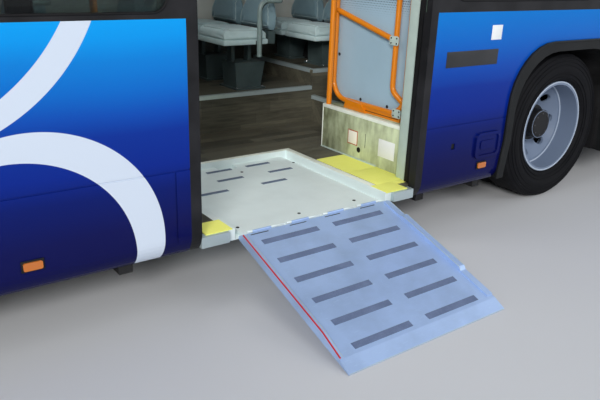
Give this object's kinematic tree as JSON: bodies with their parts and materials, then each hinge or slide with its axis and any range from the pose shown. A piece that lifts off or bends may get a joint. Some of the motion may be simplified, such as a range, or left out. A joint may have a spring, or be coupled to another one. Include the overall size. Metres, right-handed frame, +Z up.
{
  "type": "low-floor airport passenger bus with a fold-out wheelchair ramp",
  "caption": "Blue low-floor passenger bus with black-framed windows, an open sliding middle door, a let-down aluminium wheelchair ramp, steered front wheels and twin rear wheels.",
  "frame": {"origin": "bottom centre of the whole part's box, at ground level under the tyres", "axes": "+X towards the front of the bus, +Y to its left, the side of the doors and the ramp, +Z up"},
  "size_m": [10.602, 3.4606, 3.03],
  "materials": {
    "body_blue": "gloss",
    "black_trim": "satin",
    "frame_black": "satin",
    "window_glass": "gloss",
    "aluminium": "satin",
    "floor_wood": "satin",
    "chassis_black": "satin",
    "engine_iron": "satin",
    "roof_white": "satin",
    "lamp_clear": "gloss",
    "lamp_red": "gloss",
    "lamp_amber": "gloss",
    "tyre_rubber": "matte",
    "rim_silver": "satin",
    "seat_fabric": "matte",
    "seat_shell": "satin",
    "rail_orange": "gloss",
    "board_grey": "satin",
    "tread_yellow": "matte",
    "dash_black": "satin"
  },
  "bodies": {
    "bus": {"side_left": "body_blue", "side_right": "body_blue", "window_frames": "black_trim", "roof": "body_blue", "front_panel": "body_blue", "rear_panel": "body_blue", "bumper_front": "body_blue", "bumper_rear": "black_trim", "arch_trims": "black_trim", "wheel_houses": "chassis_black", "floor": "floor_wood", "seat_platforms": "floor_wood", "sill_edges": "aluminium", "sill_treads": "tread_yellow", "ramp_tray": "aluminium", "underframe": "chassis_black", "engine": "engine_iron", "axle_front": "chassis_black", "axle_rear": "chassis_black", "windscreen": "window_glass", "windows_glazed": "window_glass", "roof_unit": "roof_white", "lamps_front": "lamp_clear", "lamps_rear": "lamp_red", "lamps_side": "lamp_amber", "mirrors": "black_trim", "wipers": "black_trim", "dashboard": "dash_black", "steering_wheel": "dash_black", "driver_seat": "seat_fabric", "seat_cushions": "seat_fabric", "seat_frames": "seat_shell", "handrails": "rail_orange", "door_guides": "aluminium", "partition_frame": "rail_orange", "partition_board": "board_grey"},
    "knuckle_left": {"knuckle_left": "engine_iron"},
    "knuckle_right": {"knuckle_right": "engine_iron"},
    "wheel_front_left": {"tyre_front_left": "tyre_rubber", "rim_front_left": "rim_silver"},
    "wheel_front_right": {"tyre_front_right": "tyre_rubber", "rim_front_right": "rim_silver"},
    "wheels_rear_left": {"tyres_rear_left": "tyre_rubber", "rims_rear_left": "rim_silver"},
    "wheels_rear_right": {"tyres_rear_right": "tyre_rubber", "rims_rear_right": "rim_silver"},
    "mid_door_front": {"mid_leaf_front": "frame_black", "mid_glass_front": "window_glass"},
    "mid_door_rear": {"mid_leaf_rear": "frame_black", "mid_glass_rear": "window_glass"},
    "front_door_a": {"front_leaf_a": "frame_black", "front_glass_a": "window_glass"},
    "front_door_b": {"front_leaf_b": "frame_black", "front_glass_b": "window_glass"},
    "ramp": {"ramp": "aluminium"},
    "engine_hatch": {"engine_hatch": "body_blue"}
  },
  "joints": [
    {"name": "steer_left", "type": "hinge", "parent": "bus", "child": "knuckle_left", "pos_m": [2.916, 0.62224, 0.4785], "axis": [0, 0, 1], "range_deg": [-40, 40]},
    {"name": "roll_front_left", "type": "hinge", "parent": "knuckle_left", "child": "wheel_front_left", "pos_m": [2.916, 0.75524, 0.4785], "axis": [0, 1, 0], "continuous": true},
    {"name": "roll_rear_left", "type": "hinge", "parent": "bus", "child": "wheels_rear_left", "pos_m": [-2.384, 0.75524, 0.4785], "axis": [0, 1, 0], "continuous": true},
    {"name": "steer_right", "type": "hinge", "parent": "bus", "child": "knuckle_right", "pos_m": [2.916, -1.23776, 0.4785], "axis": [0, 0, 1], "range_deg": [-40, 40]},
    {"name": "roll_front_right", "type": "hinge", "parent": "knuckle_right", "child": "wheel_front_right", "pos_m": [2.916, -1.37076, 0.4785], "axis": [0, 1, 0], "continuous": true},
    {"name": "roll_rear_right", "type": "hinge", "parent": "bus", "child": "wheels_rear_right", "pos_m": [-2.384, -1.37076, 0.4785], "axis": [0, 1, 0], "continuous": true},
    {"name": "mid_door_front_slide", "type": "slide", "parent": "bus", "child": "mid_door_front", "axis": [1, 0, 0], "range_m": [-0.657, 0]},
    {"name": "mid_door_rear_slide", "type": "slide", "parent": "bus", "child": "mid_door_rear", "axis": [1, 0, 0], "range_m": [0, 0.657]},
    {"name": "front_door_turn", "type": "hinge", "parent": "bus", "child": "front_door_a", "pos_m": [4.674, 0.87274, 0.5], "axis": [0, 0, 1], "range_deg": [0, 80]},
    {"name": "front_door_fold", "type": "hinge", "parent": "front_door_a", "child": "front_door_b", "pos_m": [4.194, 0.92174, 0.5], "axis": [0, 0, 1], "range_deg": [-160, 0]},
    {"name": "ramp_turn", "type": "hinge", "parent": "bus", "child": "ramp", "pos_m": [-0.428, 0.91724, 0.272], "axis": [1, 0, 0], "range_deg": [0, 197.32]},
    {"name": "engine_hatch_turn", "type": "hinge", "parent": "bus", "child": "engine_hatch", "pos_m": [-5.293, -0.30776, 1.263], "axis": [0, 1, 0], "range_deg": [0, 80]}
  ],
  "couplings": [
    {"joint": "steer_right", "follows": "steer_left", "ratio": 1},
    {"joint": "mid_door_rear_slide", "follows": "mid_door_front_slide", "ratio": -1},
    {"joint": "front_door_fold", "follows": "front_door_turn", "ratio": -2}
  ]
}
